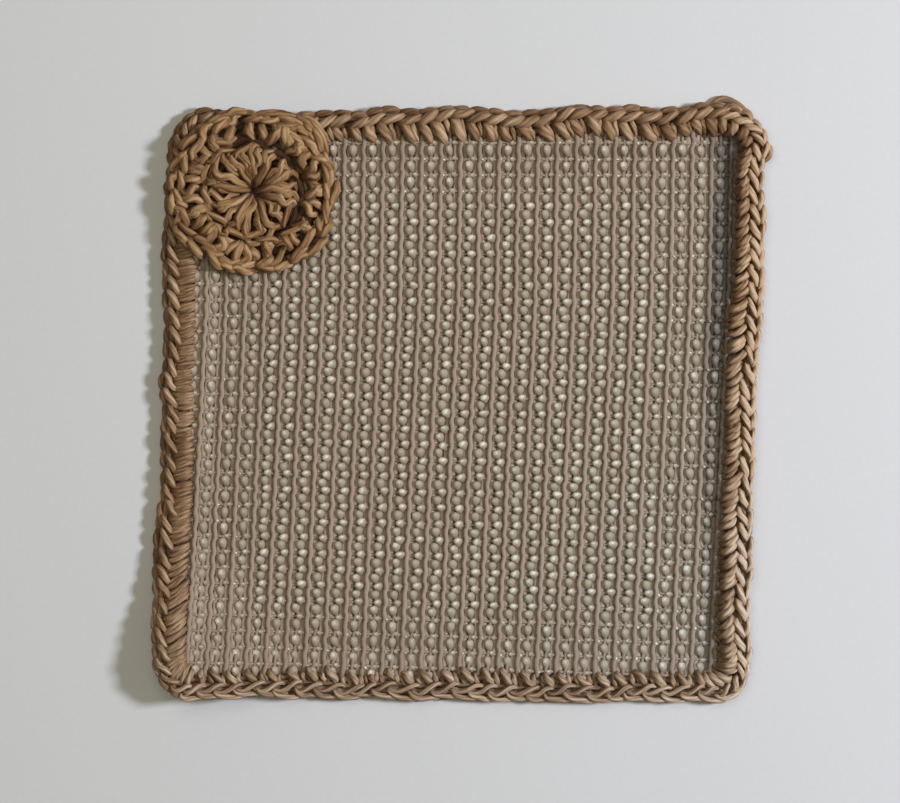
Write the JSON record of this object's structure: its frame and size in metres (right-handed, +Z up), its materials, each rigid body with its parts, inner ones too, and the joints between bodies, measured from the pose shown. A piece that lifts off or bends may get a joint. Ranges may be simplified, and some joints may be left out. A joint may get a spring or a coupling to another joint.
{
  "type": "jar gripper",
  "caption": "Square of rubber-coated grip mesh with a crocheted yarn edging and a crocheted round on one corner, for gripping jar lids.",
  "frame": {"origin": "on the surface the gripper lies on, under the middle of its outline", "axes": "+Z up out of the face that carries the rosette, +Y towards the edge with the rosette at its left end, +X to the right"},
  "size_m": [0.1452, 0.1434, 0.0082],
  "materials": {
    "grip_mesh": "taupe rubber-coated knitted mesh, glossy beads",
    "edging_yarn": "light brown plied yarn, matt with a slight sheen",
    "rosette_yarn": "light brown plied yarn, matt with a slight sheen"
  },
  "bodies": {
    "root": {"grip_panel": "grip_mesh", "crochet_edging": "edging_yarn", "rosette": "rosette_yarn"}
  },
  "joints": []
}
